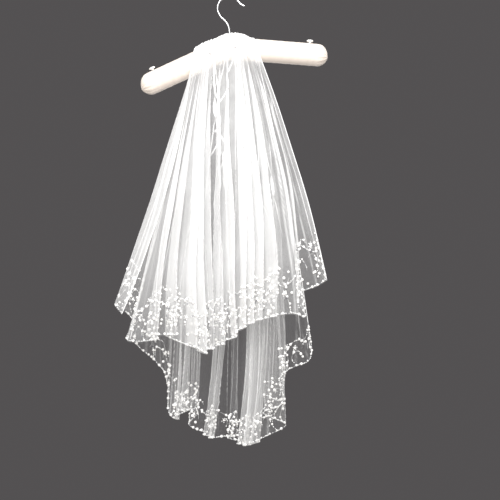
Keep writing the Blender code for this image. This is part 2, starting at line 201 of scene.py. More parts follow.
# Pinches of the lower tier
LOWER_CREASES = (
    Crease(top_fold=0.60, foot_fold=0.45, top=0.40, foot=0.96, width=2.0, lap=3.0),
    Crease(top_fold=3.60, foot_fold=3.40, top=0.20, foot=0.96, width=2.4, lap=3.6),
    Crease(top_fold=4.55, foot_fold=4.40, top=0.30, foot=0.95, width=2.2, lap=3.6),
    Crease(top_fold=5.50, foot_fold=5.60, top=0.35, foot=0.97, width=2.2, lap=3.6),
    Crease(top_fold=6.60, foot_fold=6.40, top=0.30, foot=0.96, width=2.2, lap=3.6),
    Crease(top_fold=8.40, foot_fold=8.65, top=0.40, foot=0.95, width=2.4, lap=3.8),
    Crease(top_fold=9.50, foot_fold=9.40, top=0.50, foot=0.97, width=2.2, lap=3.4),
    Crease(top_fold=10.20, foot_fold=10.28, top=0.40, foot=0.92, width=2.4, lap=3.8),
    Crease(top_fold=10.38, foot_fold=10.34, top=0.50, foot=0.88, width=2.2, lap=3.4),
    Crease(top_fold=12.4, foot_fold=12.6, top=0.45, foot=0.97, width=2.2, lap=3.6),
    Crease(top_fold=14.3, foot_fold=14.6, top=0.55, foot=0.95, width=2.0, lap=3.0),
    Crease(top_fold=16.5, foot_fold=16.3, top=0.45, foot=0.94, width=2.0, lap=3.0),
    Crease(top_fold=17.5, foot_fold=17.4, top=0.30, foot=0.97, width=2.4, lap=3.8),
    Crease(top_fold=18.5, foot_fold=18.6, top=0.35, foot=0.96, width=2.4, lap=3.8),
    Crease(top_fold=19.5, foot_fold=19.3, top=0.40, foot=0.97, width=2.2, lap=3.6),
    Crease(top_fold=20.5, foot_fold=20.6, top=0.30, foot=0.95, width=2.4, lap=3.8),
    Crease(top_fold=21.5, foot_fold=21.4, top=0.45, foot=0.96, width=2.2, lap=3.4),
    Crease(top_fold=22.6, foot_fold=22.3, top=0.40, foot=0.92, width=2.4, lap=3.8),
    Crease(top_fold=24.3, foot_fold=24.6, top=0.40, foot=0.94, width=2.4, lap=3.6),
    Crease(top_fold=25.6, foot_fold=25.4, top=0.30, foot=0.96, width=2.2, lap=3.4),
    Crease(top_fold=28.4, foot_fold=28.6, top=0.20, foot=0.94, width=2.2, lap=3.2),
    Crease(top_fold=4.80, foot_fold=5.20, top=0.45, foot=0.93, width=1.6, lap=2.2),
    Crease(top_fold=6.30, foot_fold=6.80, top=0.50, foot=0.97, width=1.6, lap=2.4),
    Crease(top_fold=7.70, foot_fold=7.20, top=0.40, foot=0.88, width=1.6, lap=2.4),
    Crease(top_fold=8.15, foot_fold=8.35, top=0.60, foot=0.98, width=1.4, lap=2.0),
    Crease(top_fold=11.6, foot_fold=11.3, top=0.45, foot=0.97, width=1.6, lap=2.4),
    Crease(top_fold=12.8, foot_fold=13.2, top=0.50, foot=0.99, width=1.6, lap=2.4),
    Crease(top_fold=13.7, foot_fold=13.4, top=0.50, foot=0.90, width=1.4, lap=2.0),
    Crease(top_fold=14.1, foot_fold=14.35, top=0.62, foot=0.99, width=1.4, lap=2.0),
    Crease(top_fold=15.2, foot_fold=15.8, top=0.40, foot=0.97, width=1.4, lap=2.0),
    Crease(top_fold=17.2, foot_fold=17.9, top=0.45, foot=0.93, width=1.6, lap=2.4),
    Crease(top_fold=17.9, foot_fold=17.1, top=0.55, foot=0.98, width=1.4, lap=2.2),
    Crease(top_fold=18.8, foot_fold=18.2, top=0.50, foot=0.90, width=1.6, lap=2.4),
    Crease(top_fold=19.2, foot_fold=19.8, top=0.42, foot=0.97, width=1.6, lap=2.4),
    Crease(top_fold=20.2, foot_fold=20.9, top=0.55, foot=0.95, width=1.4, lap=2.2),
    Crease(top_fold=20.9, foot_fold=20.3, top=0.40, foot=0.85, width=1.6, lap=2.4),
    Crease(top_fold=21.2, foot_fold=21.7, top=0.50, foot=0.98, width=1.4, lap=2.2),
    Crease(top_fold=23.7, foot_fold=23.4, top=0.40, foot=0.90, width=1.6, lap=2.4),
    Crease(top_fold=25.2, foot_fold=25.8, top=0.45, foot=0.95, width=1.6, lap=2.4),
    Crease(top_fold=26.5, foot_fold=26.3, top=0.40, foot=0.92, width=1.4, lap=2.2),
)


# How closely the net is crushed along each tier: pairs of a fold number and a factor
UPPER_CRUSH = ((0, 1.6), (1, 0.9), (2, 1.2), (3, 1.0), (4, 1.1), (5, 0.8), (7, 1.0), (8, 1.7), (10.5, 1.9),
               (11.3, 1.0), (13, 0.8), (13.6, 0.7), (14.6, 0.65), (15.3, 0.9), (16.2, 1.4), (17.2, 1.1),
               (18.2, 1.8), (21, 2.0),
               (22, 1.3), (23, 1.0), (24, 1.0), (25, 0.6), (26, 1.0), (27, 0.8), (29, 0.7), (30, 1.3))
LOWER_CRUSH = ((0, 1.2), (1, 0.8), (2, 0.9), (3.6, 1.0), (4.2, 2.4), (8.6, 2.5), (9.1, 1.2), (9.6, 0.9),
               (10.7, 0.8), (11.2, 2.6), (13.6, 3.0), (14.1, 0.7), (14.7, 0.5), (15.6, 0.5), (16.5, 0.7),
               (17.1, 3.3), (21.8, 3.3), (22.4, 1.5), (23.5, 1.4), (26.5, 1.7), (27.2, 0.9), (29, 0.8),
               (30, 1.2))


@dataclass(frozen=True)
class Tulle:
    """Fine white net, which covers more of what lies behind it where it turns away."""

    name: str
    cover: float
    colour: tuple = (0.95, 0.95, 0.95)
    roughness: float = 0.75
    sheen: float = 0.25
    glow: float = 0.15
    cell: float = 1.3
    unevenness: float = 0.22
    heading_cover: float = 0.8
    heading_from: float = 30.0
    heading_to: float = 78.0

    def material(self) -> bpy.types.Material:
        """Make the net's material.

        Returns:
            The new material.
        """
        sheet = NodeSheet(self.name)
        shader = sheet.principled(self.colour, self.roughness)
        shader.inputs["Sheen Weight"].default_value = self.sheen
        place = sheet.node("ShaderNodeUVMap", uv_map="cloth")
        mesh = sheet.node("ShaderNodeTexVoronoi", feature="DISTANCE_TO_EDGE")
        mesh.inputs["Scale"].default_value = 1 / (self.cell * MM)
        mesh.inputs["Randomness"].default_value = 0.3
        sheet.link(place.outputs["UV"], mesh.inputs["Vector"])
        cloud = sheet.node("ShaderNodeTexNoise")
        cloud.inputs["Scale"].default_value = 9.0
        cloud.inputs["Detail"].default_value = 3.0
        sheet.link(place.outputs["UV"], cloud.inputs["Vector"])
        holes = sheet.ramp(mesh.outputs["Distance"], 0.05, 0.4,
                           self.cover * (1 + self.unevenness), self.cover * (1 - self.unevenness))
        patches = sheet.ramp(cloud.outputs["Fac"], 0.3, 0.7, 0.88, 1.12)
        down = sheet.node("ShaderNodeSeparateXYZ")
        sheet.link(place.outputs["UV"], down.inputs["Vector"])
        gathers = sheet.ramp(down.outputs["Y"], self.heading_from * MM, self.heading_to * MM,
                             1 - self.heading_cover, 1.0)
        net_gaps = sheet.math("SUBTRACT", 1.0, sheet.math("MULTIPLY", holes, patches))
        tint = sheet.mix_colour(cloud.outputs["Fac"], tuple(0.97 * c for c in self.colour), self.colour)
        sheet.link(tint, shader.inputs["Base Color"])
        turned = sheet.node("ShaderNodeLayerWeight")
        turned.inputs["Blend"].default_value = 0.5
        facing = sheet.math("SUBTRACT", 1.0, turned.outputs["Facing"])
        layers = sheet.math("DIVIDE", 1.0, sheet.math("MAXIMUM", facing, 0.14))
        crush = sheet.node("ShaderNodeAttribute", attribute_name="crush")
        crushed = sheet.math("MULTIPLY", layers, crush.outputs["Fac"])
        through = sheet.math("POWER", sheet.math("MULTIPLY", net_gaps, gathers), crushed)
        solid = sheet.math("SUBTRACT", 1.0, through)
        back = sheet.node("ShaderNodeBsdfTranslucent")
        back.inputs["Color"].default_value = (*self.colour, 1.0)
        thread = sheet.node("ShaderNodeMixShader")
        thread.inputs["Fac"].default_value = self.glow
        sheet.link(shader.outputs["BSDF"], thread.inputs[1])
        sheet.link(back.outputs["BSDF"], thread.inputs[2])
        clear = sheet.node("ShaderNodeBsdfTransparent")
        net = sheet.node("ShaderNodeMixShader")
        sheet.link(solid, net.inputs["Fac"])
        sheet.link(clear.outputs["BSDF"], net.inputs[1])
        sheet.link(thread.outputs["Shader"], net.inputs[2])
        sheet.surface(net.outputs["Shader"])
        return sheet.material


@dataclass(frozen=True)
class Satin:
    """Woven satin with a soft gloss and fine creases, with painted shade in the crease hollows."""

    name: str
    colour: tuple = (0.80, 0.705, 0.625)
    shade: tuple = (0.74, 0.64, 0.56)
    roughness: float = 0.42
    sheen: float = 0.3

    def material(self) -> bpy.types.Material:
        """Make the satin's material.

        Returns:
            The new material.
        """
        sheet = NodeSheet(self.name)
        shader = sheet.principled(self.colour, self.roughness)
        shader.inputs["Sheen Weight"].default_value = self.sheen
        shader.inputs["Specular IOR Level"].default_value = 0.6
        place = sheet.node("ShaderNodeUVMap", uv_map="cloth")
        float_threads = sheet.node("ShaderNodeTexWave", wave_type="BANDS", bands_direction="X")
        float_threads.inputs["Scale"].default_value = 260.0
        float_threads.inputs["Distortion"].default_value = 0.6
        sheet.link(place.outputs["UV"], float_threads.inputs["Vector"])
        creases = sheet.node("ShaderNodeTexNoise")
        creases.inputs["Scale"].default_value = 38.0
        creases.inputs["Detail"].default_value = 3.0
        sheet.link(place.outputs["UV"], creases.inputs["Vector"])
        # The colour turns darker where the crease bump dips: painted shade in the crease hollows.
        tint = sheet.mix_colour(creases.outputs["Fac"], self.shade, self.colour)
        sheet.link(tint, shader.inputs["Base Color"])
        gloss = sheet.ramp(creases.outputs["Fac"], 0.3, 0.7, self.roughness - 0.06, self.roughness + 0.08)
        sheet.link(gloss, shader.inputs["Roughness"])
        weave = sheet.bump(float_threads.outputs["Fac"], 0.10, 0.00012)
        relief = sheet.bump(creases.outputs["Fac"], 0.25, 0.0005, weave)
        sheet.link(relief, shader.inputs["Normal"])
        sheet.surface(shader.outputs["BSDF"])
        return sheet.material


@dataclass(frozen=True)
class Lustre:
    """Smooth hard finish of a pearl, glass seed bead, enamel knob or polished metal."""

    name: str
    colour: tuple
    shade: tuple
    roughness: float
    metallic: float = 0.0
    coat: float = 0.0
    grain: float = 60.0

    def material(self) -> bpy.types.Material:
        """Make the material.

        Returns:
            The new material.
        """
        sheet = NodeSheet(self.name)
        shader = sheet.principled(self.colour, self.roughness)
        shader.inputs["Metallic"].default_value = self.metallic
        shader.inputs["Coat Weight"].default_value = self.coat
        shader.inputs["Coat Roughness"].default_value = 0.08
        place = sheet.node("ShaderNodeTexCoord")
        cloud = sheet.node("ShaderNodeTexNoise")
        cloud.inputs["Scale"].default_value = self.grain
        cloud.inputs["Detail"].default_value = 3.0
        sheet.link(place.outputs["Object"], cloud.inputs["Vector"])
        tint = sheet.mix_colour(cloud.outputs["Fac"], self.shade, self.colour)
        sheet.link(tint, shader.inputs["Base Color"])
        gloss = sheet.ramp(cloud.outputs["Fac"], 0.3, 0.7, self.roughness * 0.8, self.roughness * 1.3)
        sheet.link(gloss, shader.inputs["Roughness"])
        sheet.surface(shader.outputs["BSDF"])
        return sheet.material


class NodeSheet:
    """A small helper that lays out the nodes of one material."""

    def __init__(self, name: str) -> None:
        """Start an empty node tree for a new material of this name."""
        self.material = bpy.data.materials.new(name)
        self.material.use_nodes = True
        self.tree = self.material.node_tree
        self.tree.nodes.clear()

    def node(self, kind: str, **settings: object) -> bpy.types.Node:
        """Add a node.

        Args:
            kind: Blender's type name of the node.
            settings: Properties to set on it.

        Returns:
            The new node.
        """
        made = self.tree.nodes.new(kind)
        for key, value in settings.items():
            setattr(made, key, value)
        return made

    def link(self, source: bpy.types.NodeSocket, target: bpy.types.NodeSocket) -> None:
        """Join an output to an input."""
        self.tree.links.new(source, target)

    def principled(self, colour: tuple, roughness: float) -> bpy.types.Node:
        """Add the main shader with its plain colour and roughness."""
        shader = self.node("ShaderNodeBsdfPrincipled")
        shader.inputs["Base Color"].default_value = (*colour, 1.0)
        shader.inputs["Roughness"].default_value = roughness
        return shader

    def ramp(self, value: bpy.types.NodeSocket, low: float, high: float, start: float,
             end: float) -> bpy.types.NodeSocket:
        """Map a range of a value to another range, clamped.

        Args:
            value: The socket to read.
            low: Value that gives start.
            high: Value that gives end.
            start: Result at low.
            end: Result at high.

        Returns:
            The mapped value's socket.
        """
        made = self.node("ShaderNodeMapRange")
        for key, number in zip(("From Min", "From Max", "To Min", "To Max"), (low, high, start, end)):
            made.inputs[key].default_value = number
        self.link(value, made.inputs["Value"])
        return made.outputs["Result"]

    def math(self, operation: str, first: object, second: object) -> bpy.types.NodeSocket:
        """Work out one sum from two sockets or numbers.

        Args:
            operation: Blender's name of the operation.
            first: A socket or a number.
            second: A socket or a number.

        Returns:
            The result's socket.
        """
        made = self.node("ShaderNodeMath", operation=operation)
        for target, value in zip(made.inputs, (first, second)):
            if isinstance(value, (int, float)):
                target.default_value = value
            else:
                self.link(value, target)
        return made.outputs["Value"]

    def mix_colour(self, factor: bpy.types.NodeSocket, first: tuple,
                   second: tuple) -> bpy.types.NodeSocket:
        """Blend two colours by a factor.

        Args:
            factor: The socket that blends them.
            first: Colour at 0.
            second: Colour at 1.

        Returns:
            The blended colour's socket.
        """
        made = self.node("ShaderNodeMix", data_type="RGBA")
        made.inputs[6].default_value = (*first, 1.0)
        made.inputs[7].default_value = (*second, 1.0)
        self.link(factor, made.inputs[0])
        return made.outputs[2]

    def bump(self, height: bpy.types.NodeSocket, strength: float, distance: float,
             normal: bpy.types.NodeSocket | None = None) -> bpy.types.NodeSocket:
        """Raise a height as bump.

        Args:
            height: The socket to raise.
            strength: Share of the effect.
            distance: Height in metres.
            normal: An earlier bump to add to.

        Returns:
            The new normal's socket.
        """
        made = self.node("ShaderNodeBump")
        made.inputs["Strength"].default_value = strength
        made.inputs["Distance"].default_value = distance
        self.link(height, made.inputs["Height"])
        if normal is not None:
            self.link(normal, made.inputs["Normal"])
        return made.outputs["Normal"]

    def surface(self, shader: bpy.types.NodeSocket) -> None:
        """End the sheet with the material's output."""
        out = self.node("ShaderNodeOutputMaterial")
        self.link(shader, out.inputs["Surface"])


def smooth_step(low: float, high: float, value: np.ndarray) -> np.ndarray:
    """Rise smoothly from 0 at low to 1 at high."""
    share = np.clip((value - low) / (high - low), 0.0, 1.0)
    return share * share * (3 - 2 * share)


def unit(rows: np.ndarray) -> np.ndarray:
    """Scale vectors to length 1."""
    return rows / np.maximum(np.linalg.norm(rows, axis=-1, keepdims=True), 1e-9)


def grid_piece(name: str, points: np.ndarray, cloth: np.ndarray, material: bpy.types.Material,
               closed: bool = False) -> bpy.types.Object:
    """Make a smooth sheet or tube from a grid of points.

    Args:
        name: The piece's name.
        points: Rows by columns by 3, in millimetres.
        cloth: Rows by columns by 2, the flat place of each point in millimetres.
        material: What it is made of.
        closed: True if the last column meets the first.

    Returns:
        The new object.
    """
    rows, columns = points.shape[:2]
    index = np.arange(rows * columns).reshape(rows, columns)
    right = np.roll(index, -1, axis=1) if closed else index[:, 1:]
    left = index if closed else index[:, :-1]
    faces = np.stack((left[:-1], left[1:], right[1:], right[:-1]), axis=-1).reshape(-1, 4)
    mesh = bpy.data.meshes.new(name)
    mesh.from_pydata((points.reshape(-1, 3) * MM).tolist(), [], faces.tolist())
    layer = mesh.uv_layers.new(name="cloth")
    corners = np.zeros(len(mesh.loops), np.int32)
    mesh.loops.foreach_get("vertex_index", corners)
    layer.data.foreach_set("uv", (cloth.reshape(-1, 2)[corners] * MM).astype(np.float32).ravel())
    mesh.materials.append(material)
    mesh.shade_smooth()
    piece = bpy.data.objects.new(name, mesh)
    bpy.context.scene.collection.objects.link(piece)
    return piece


def fan_piece(name: str, parts: list, material: bpy.types.Material) -> bpy.types.Object:
    """Make one smooth mesh from lists of points and faces.

    Args:
        name: The piece's name.
        parts: Pairs of points in millimetres and faces that count from 0 in each pair.
        material: What it is made of.

    Returns:
        The new object.
    """
    points, faces, start = [], [], 0
    for part_points, part_faces in parts:
        points.append(part_points)
        faces += (np.asarray(part_faces) + start).tolist()
        start += len(part_points)
    mesh = bpy.data.meshes.new(name)
    mesh.from_pydata((np.vstack(points) * MM).tolist(), [], faces)
    mesh.materials.append(material)
    mesh.shade_smooth()
    piece = bpy.data.objects.new(name, mesh)
    bpy.context.scene.collection.objects.link(piece)
    return piece


def thread_tube(route: np.ndarray, radius: float, sides: int) -> tuple:
    """Make a thin tube along a route.

    Args:
        route: Points along its middle, in millimetres.
        radius: Its radius in millimetres.
        sides: Faces around it.

    Returns:
        Its points and its faces, closed at both ends.
    """
    flow = unit(np.gradient(route, axis=0))
    across = unit(np.cross(flow, np.array([0.83, 0.11, 0.55])))
    third = np.cross(flow, across)
    angle = np.linspace(0, 2 * math.pi, sides, endpoint=False)
    ring = across[:, None] * np.cos(angle)[None, :, None] + third[:, None] * np.sin(angle)[None, :, None]
    points = (route[:, None] + radius * ring).reshape(-1, 3)
    count = len(route)
    points = np.vstack((points, route[0], route[-1]))
    faces = []
    for row in range(count - 1):
        for k in range(sides):
            a, b = row * sides + k, row * sides + (k + 1) % sides
            faces += [(a, b, b + sides), (a, b + sides, a + sides)]
    last = (count - 1) * sides
    for k in range(sides):
        faces += [(count * sides, (k + 1) % sides, k), (count * sides + 1, last + k, last + (k + 1) % sides)]
    return points, np.array(faces)


def dress(piece: bpy.types.Object, slot: str, *replaced: str) -> None:
    """Fix a piece to the body, hide the CAD nodes it stands for, and log its face count and slot.

    Args:
        piece: The finished piece.
        slot: The record's material slot, which this script only logs.
        replaced: CAD nodes that the piece stands for.
    """
    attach(piece, "root")
    if replaced:
        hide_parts(*replaced)
    count = len(piece.data.polygons) if piece.type == "MESH" else len(piece.data.splines)
    LOG.info("%s: %d faces or splines, slot %s", piece.name, count, slot)


@dataclass
class BarLine:
    """Centre line and thickness of the padded bar."""

    radius: float = 23.0
    left_tip: float = -178.5
    right_tip: float = 199.5
    peak_x: float = -3.0
    peak_z: float = -106.3
    left_slope: float = 0.4605
    right_slope: float = -0.0795
    bend_width: float = 10.0
    end_length: float = 20.0

    def height(self, x: np.ndarray) -> np.ndarray:
        """Height of the centre line at x."""
        mean = (self.left_slope + self.right_slope) / 2
        half = (self.left_slope - self.right_slope) / 2
        run = x - self.peak_x
        bend = np.sqrt(run * run + self.bend_width ** 2) - self.bend_width
        return self.peak_z + mean * run - half * bend

    def slope(self, x: np.ndarray) -> np.ndarray:
        """Slope of the centre line at x."""
        mean = (self.left_slope + self.right_slope) / 2
        half = (self.left_slope - self.right_slope) / 2
        run = x - self.peak_x
        return mean - half * run / np.sqrt(run * run + self.bend_width ** 2)


@dataclass
class PaddedBar:
    """The stuffed satin bar, its cover gathered into a star of pleats at each end."""

    line: BarLine
    around: int = 120
    along: int = 230
    end_rows: int = 26
    pleats: int = 13
    pleat_depth: float = 2.4
    pleat_reach: float = 12.0
    eye_share: float = 0.05
    eye_shift: tuple = (0.0, -7.0, -5.0)
    ripple: float = 0.22
    seam_angle: float = math.radians(-118)

    def rings(self) -> tuple:
        """Places along the bar and the share of the full radius at each.

        Returns:
            Two arrays: x in millimetres, and the share of the radius.
        """
        bar = self.line
        turn = np.linspace(math.asin(self.eye_share), math.pi / 2, self.end_rows)
        inward = bar.end_length * (1 - np.cos(turn))
        left = bar.left_tip + inward / math.hypot(1, bar.left_slope)
        right = bar.right_tip - inward / math.hypot(1, bar.right_slope)
        middle = np.linspace(left[-1], right[-1], self.along)[1:-1]
        x = np.concatenate((left, middle, right[::-1]))
        share = np.concatenate((np.sin(turn), np.ones(len(middle)), np.sin(turn)[::-1]))
        return x, share

    def build(self, satin: Satin) -> bpy.types.Object:
        """Make the bar.

        Args:
            satin: The cover's finish.

        Returns:
            The new piece.
        """
        bar = self.line
        x, share = self.rings()
        angle = np.linspace(0, 2 * math.pi, self.around, endpoint=False)
        slope = bar.slope(x)
        lean = np.arctan(slope)[:, None]
        from_end = np.minimum(x - bar.left_tip, bar.right_tip - x)[:, None]
        pull = np.exp(-from_end / self.pleat_reach)
        star = np.abs(np.sin(self.pleats * angle / 2 + 0.5 * np.sin(2 * angle)))[None, :]
        wander = np.sin(x * 0.071 + 1.3)[:, None] * 0.9
        rings = (np.sin(x[:, None] * 0.36 + 1.4 * np.sin(angle + 0.4) + wander)
                 + 0.7 * np.sin(x[:, None] * 0.61 - 2.1 * np.cos(angle) + 2 * wander))
        puckers = np.sin(x * 1.1)[:, None] * np.exp(-((angle - self.seam_angle % (2 * math.pi)) / 0.22) ** 2)
        soft = share[:, None] * (self.ripple * (rings / 1.7 - 1) + 0.35 * (puckers - 1)
                                 * np.exp(-((angle - self.seam_angle % (2 * math.pi)) / 0.3) ** 2))
        radius = share[:, None] * bar.radius + soft - self.pleat_depth * pull * (1 - star) * share[:, None]
        radius = np.maximum(radius, 0.6)
        up = radius * np.sin(angle)
        y = -radius * np.cos(angle)
        shift = (1 - share[:, None]) ** 1.6
        points = np.stack((x[:, None] - np.sin(lean) * up + shift * self.eye_shift[0],
                           y + shift * self.eye_shift[1],
                           bar.height(x)[:, None] + np.cos(lean) * up + shift * self.eye_shift[2]), axis=-1)
        cloth = np.stack(np.broadcast_arrays(x[:, None], angle * bar.radius), axis=-1)
        piece = grid_piece("satin_bar", points[:, ::-1], cloth[:, ::-1], satin.material(), closed=True)
        for row in (0, len(x) - 1):
            ring = [row * self.around + step for step in range(self.around)]
            self.close_end(piece.data, ring if row == 0 else ring[::-1])
        dress(piece, "satin", "padded_bar")
        return piece

    @staticmethod
    def close_end(mesh: bpy.types.Mesh, ring: list) -> None:
        """Close the small eye in the middle of an end's pleats with one face."""
        shape = bmesh.new()
        shape.from_mesh(mesh)
        shape.verts.ensure_lookup_table()
        shape.faces.new([shape.verts[index] for index in ring]).smooth = True
        shape.to_mesh(mesh)
        shape.free()


@dataclass
class WireHook:
    """The polished wire hook: stem, sweep to the left, loop and flared tip."""

    line: BarLine
    radius: float = 1.5
    loop_radius: float = 23.5
    loop_centre_x: float = -1.0
    loop_start: float = 205.0
    loop_end: float = 32.0
    loop_steps: int = 12
    steps: int = 6
    seat_gap: float = 0.3

    def route(self) -> np.ndarray:
        """Read points along the wire's centre line.

        Returns:
            The points, in millimetres.
        """
        foot = float(self.line.height(0.0)) + self.line.radius / math.cos(math.atan(self.line.slope(0.0)))
        corners = [(0.0, foot + self.seat_gap), (0.0, -71.5), (-1.4, -62.2), (-5.0, -53.5),
                   (-11.0, -46.3), (-17.5, -40.2)]
        for step in range(self.loop_steps + 1):
            turn = math.radians(self.loop_start + (self.loop_end - self.loop_start) * step / self.loop_steps)
            corners.append((self.loop_centre_x + self.loop_radius * math.cos(turn),
                            self.radius - self.loop_radius + self.loop_radius * math.sin(turn)))
        corners += [(21.6, -12.6), (26.4, -16.0), (31.2, -17.6)]
        rows = np.array([(x, 0.0, z) for x, z in corners])
        ends = np.vstack((2 * rows[0] - rows[1], rows, 2 * rows[-1] - rows[-2]))
        f = np.arange(0, 1, 1 / self.steps)[None, :, None]
        before, start, end, after = (ends[k:len(ends) - 3 + k][:, None, :] for k in range(4))
        bend = (2 * start + (end - before) * f + (2 * before - 5 * start + 4 * end - after) * f ** 2
                + (3 * start - before - 3 * end + after) * f ** 3) / 2
        return np.vstack((bend.reshape(-1, 3), rows[-1:]))

    def build(self, chrome: Lustre) -> bpy.types.Object:
        """Make the hook.

        Args:
            chrome: The wire's finish.

        Returns:
            The new piece.
        """
        route = self.route()
        curve = bpy.data.curves.new("wire_hook", "CURVE")
        curve.dimensions = "3D"
        curve.bevel_depth = self.radius * MM
        curve.bevel_resolution = 6
        curve.use_fill_caps = True
        spline = curve.splines.new("POLY")
        spline.points.add(len(route) - 1)
        for target, place in zip(spline.points, route):
            target.co = (*(place * MM), 1.0)
        for end, share in ((-1, 0.45), (-2, 0.9)):
            spline.points[end].radius = share
        spline.use_smooth = True
        curve.materials.append(chrome.material())
        piece = bpy.data.objects.new("wire_hook", curve)
        bpy.context.scene.collection.objects.link(piece)
        dress(piece, "wire", "hook")
        return piece


@dataclass
class StrapKnob:
    """One turned knob that keeps a strap on an arm."""

    line: BarLine
    node: str
    x: float
    stalk_radius: float = 2.6
    stalk_height: float = 1.8
    head_radius: float = 6.6
    head_height: float = 5.0
    sides: int = 48
    seat_gap: float = 0.3

    def build(self, enamel: Lustre) -> bpy.types.Object:
        """Turn the knob and set it square on the arm.

        Args:
            enamel: The knob's finish.

        Returns:
            The new piece.
        """
        turn = np.radians(np.linspace(90, -78, 15))
        middle = self.stalk_height + self.head_height / 2
        profile = [(self.head_radius * math.cos(a) ** 0.8 if math.cos(a) > 1e-6 else 0.05,
                    middle + self.head_height / 2 * math.sin(a)) for a in turn]
        profile += [(self.stalk_radius, self.stalk_height + 0.1), (self.stalk_radius, 0.4),
                    (self.stalk_radius + 0.5, 0.0)]
        angle = np.linspace(0, 2 * math.pi, self.sides, endpoint=False)
        r, z = np.array(profile).T
        lean = math.atan(float(self.line.slope(self.x)))
        reach = self.line.radius + self.seat_gap
        side = r[:, None] * np.cos(angle)
        up = np.broadcast_to(z[:, None] + reach, side.shape)
        points = np.stack((self.x + math.cos(lean) * side - math.sin(lean) * up,
                           r[:, None] * np.sin(angle),
                           float(self.line.height(self.x)) + math.sin(lean) * side + math.cos(lean) * up),
                          axis=-1)
        cloth = np.stack(np.broadcast_arrays(angle * self.head_radius, z[:, None]), axis=-1)
        piece = grid_piece(self.node + "_turned", points, cloth, enamel.material(), closed=True)
        dress(piece, "pearl", self.node)
        return piece


